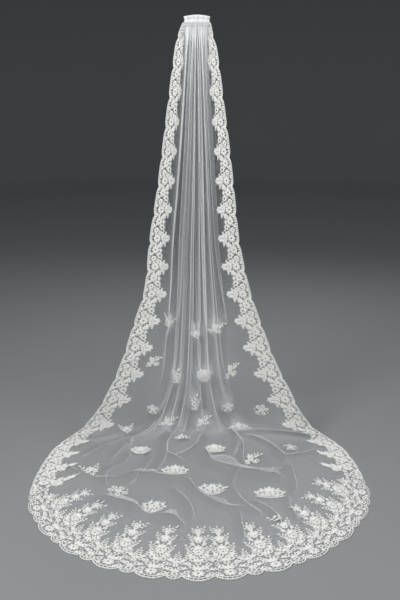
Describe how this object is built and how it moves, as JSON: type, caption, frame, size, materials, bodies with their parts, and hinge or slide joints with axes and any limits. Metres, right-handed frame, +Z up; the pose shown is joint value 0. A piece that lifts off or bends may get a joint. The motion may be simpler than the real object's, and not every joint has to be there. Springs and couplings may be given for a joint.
{
  "type": "lace bridal veil",
  "caption": "Cathedral-length bridal veil of gathered tulle on a hair comb, with a scalloped corded-lace border and sewn-on lace sprays.",
  "frame": {"origin": "middle of the hair comb's spine, where the veil pins into the hair", "axes": "+Z up; the right side of the cloth faces -Y and the train runs out towards -Y; +X to the right seen from the train"},
  "size_m": [1.2409, 1.3288, 1.7061],
  "materials": {
    "comb_plastic": "clear-white glossy plastic",
    "tulle": "sheer white net",
    "lace": "matte white embroidered lace"
  },
  "bodies": {
    "root": {"comb": "comb_plastic", "gathered_heading": "tulle", "tulle": "tulle", "lace_border_left": "lace", "lace_border_right": "lace", "lace_spray_01": "lace", "lace_spray_02": "lace", "lace_spray_03": "lace", "lace_spray_04": "lace", "lace_spray_05": "lace", "lace_spray_06": "lace", "lace_spray_07": "lace", "lace_spray_08": "lace", "lace_spray_09": "lace", "lace_spray_10": "lace", "lace_spray_11": "lace", "lace_spray_12": "lace", "lace_spray_13": "lace", "lace_spray_14": "lace", "lace_spray_15": "lace", "lace_spray_16": "lace", "lace_spray_17": "lace", "lace_spray_18": "lace", "lace_spray_19": "lace", "lace_spray_20": "lace", "lace_spray_21": "lace", "lace_spray_22": "lace", "lace_spray_23": "lace", "lace_spray_24": "lace", "lace_spray_25": "lace", "lace_spray_26": "lace"}
  },
  "joints": []
}
